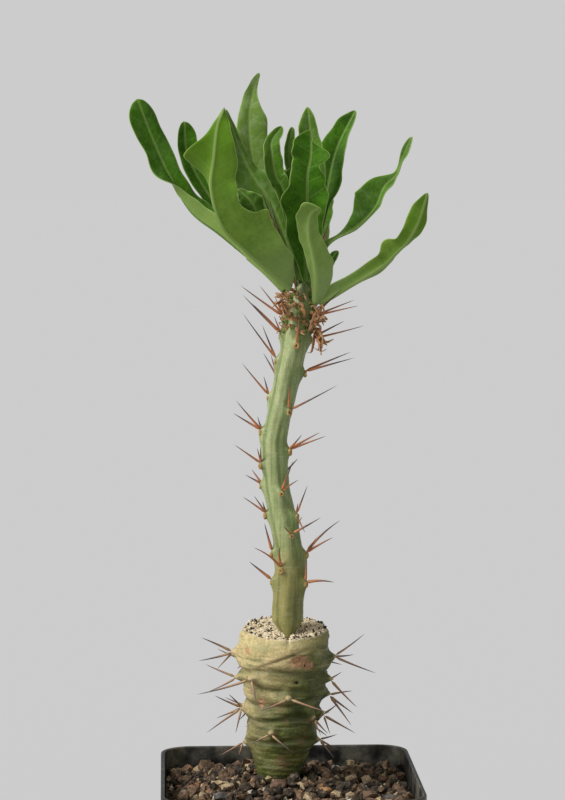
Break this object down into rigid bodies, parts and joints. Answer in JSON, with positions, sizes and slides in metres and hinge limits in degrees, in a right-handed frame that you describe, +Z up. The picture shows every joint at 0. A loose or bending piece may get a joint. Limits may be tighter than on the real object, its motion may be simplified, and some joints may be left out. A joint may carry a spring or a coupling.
{
  "type": "potted pachypodium",
  "caption": "Grafted pachypodium: slender thorny stem with a crown of long wavy green leaves on a fat thorny stock, in a small square black pot of gritty mix.",
  "frame": {"origin": "middle of the pot's flat underside", "axes": "+Z up along the plant, +X to the right and +Y away from a viewer of the plant's best side"},
  "size_m": [0.0844, 0.0807, 0.2801],
  "materials": {
    "pot_plastic": "thin black nursery-pot plastic, satin, with dried mineral dust on the inside walls",
    "potting_mix": "coarse gritty mix of pumice, lava, bark and baked clay, dry and matte",
    "stock_skin": "living grey-green bark, waxy, creased in rings, thorny, corky where it was cut",
    "stem_skin": "living grey-green skin with a waxy bloom, faint lengthwise streaks, red-brown thorns",
    "leaf": "soft velvety leaf, mid green above and paler below, with a pale midrib and margin",
    "dry_scrap": "withered orange-brown petal and stalk remains, papery",
    "stone_pumice": "pale porous pumice",
    "stone_pale": "off-white pebble",
    "stone_tan": "tan grit stone",
    "stone_slate": "dark grey lava stone",
    "stone_ochre": "orange-tan baked clay",
    "stone_brick": "red-brown lava stone",
    "stone_umber": "dark brown clod"
  },
  "bodies": {
    "root": {"pot": "pot_plastic", "potting_mix": "potting_mix", "rootstock": "stock_skin", "scion_stem": "stem_skin", "leaf_far_left": "leaf", "leaf_back_left": "leaf", "leaf_big_left": "leaf", "leaf_tall_back": "leaf", "leaf_dark_left": "leaf", "leaf_low_left": "leaf", "leaf_centre_left": "leaf", "leaf_young_tall": "leaf", "leaf_young_short": "leaf", "leaf_centre_back": "leaf", "leaf_centre": "leaf", "leaf_back_right": "leaf", "leaf_front": "leaf", "leaf_right_upper": "leaf", "leaf_right_lower": "leaf", "leaf_small_right": "leaf", "leaf_rear_centre": "leaf", "leaf_rear_right": "leaf", "leaf_rear_left": "leaf", "leaf_rear_low": "leaf", "dry_flower_scrap_1": "dry_scrap", "dry_flower_scrap_2": "dry_scrap", "dry_flower_scrap_3": "dry_scrap", "stone_01": "stone_pumice", "stone_02": "stone_pale", "stone_03": "stone_tan", "stone_04": "stone_slate", "stone_05": "stone_tan", "stone_06": "stone_ochre", "stone_07": "stone_brick", "stone_08": "stone_ochre", "stone_09": "stone_ochre", "stone_10": "stone_slate", "stone_11": "stone_umber", "stone_12": "stone_tan", "stone_13": "stone_brick", "stone_14": "stone_umber", "stone_15": "stone_tan", "stone_16": "stone_brick"}
  },
  "joints": []
}
